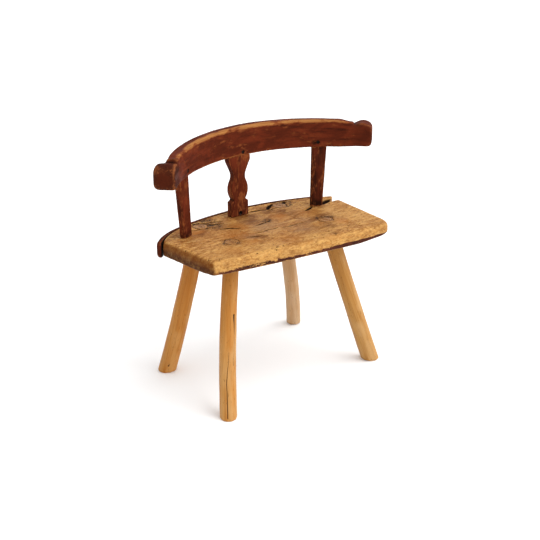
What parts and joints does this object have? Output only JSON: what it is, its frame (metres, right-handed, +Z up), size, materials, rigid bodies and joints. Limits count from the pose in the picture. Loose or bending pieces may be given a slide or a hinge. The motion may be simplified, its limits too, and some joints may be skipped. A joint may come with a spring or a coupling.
{
  "type": "wooden milking stool",
  "caption": "Low-backed wooden milking stool: plank seat on splayed round legs, with flat posts and a vase-shaped splat under a bowed, eared crest rail.",
  "frame": {"origin": "on the floor, under the middle of the stool's bounding box", "axes": "+X along the seat to its right end as the sitter's front edge is faced, +Y from the front edge to the bowed back, +Z up"},
  "size_m": [0.6394, 0.3523, 0.596],
  "materials": {
    "seat_wood": "bare, worn blond softwood, honey coloured, with cracks and stains",
    "dark_red_paint": "old dark brick-red paint on wood, worn through to the wood on the arrises",
    "leg_wood": "smooth honey-yellow wood with an old waxed surface",
    "wedge_wood": "darker end-grain wood",
    "peg_wood": "dark end-grain wood, painted over",
    "nail_iron": "dark rusty forged iron"
  },
  "bodies": {
    "root": {"seat": "seat_wood", "seat_back_strip": "dark_red_paint", "crest_rail": "dark_red_paint", "post_left": "dark_red_paint", "post_right": "dark_red_paint", "splat": "dark_red_paint", "leg_front_left": "leg_wood", "leg_front_right": "leg_wood", "leg_back_left": "leg_wood", "leg_back_right": "leg_wood", "leg_wedges": "wedge_wood", "crest_pegs": "peg_wood", "splat_nail": "nail_iron", "strip_nails": "nail_iron"}
  },
  "joints": []
}
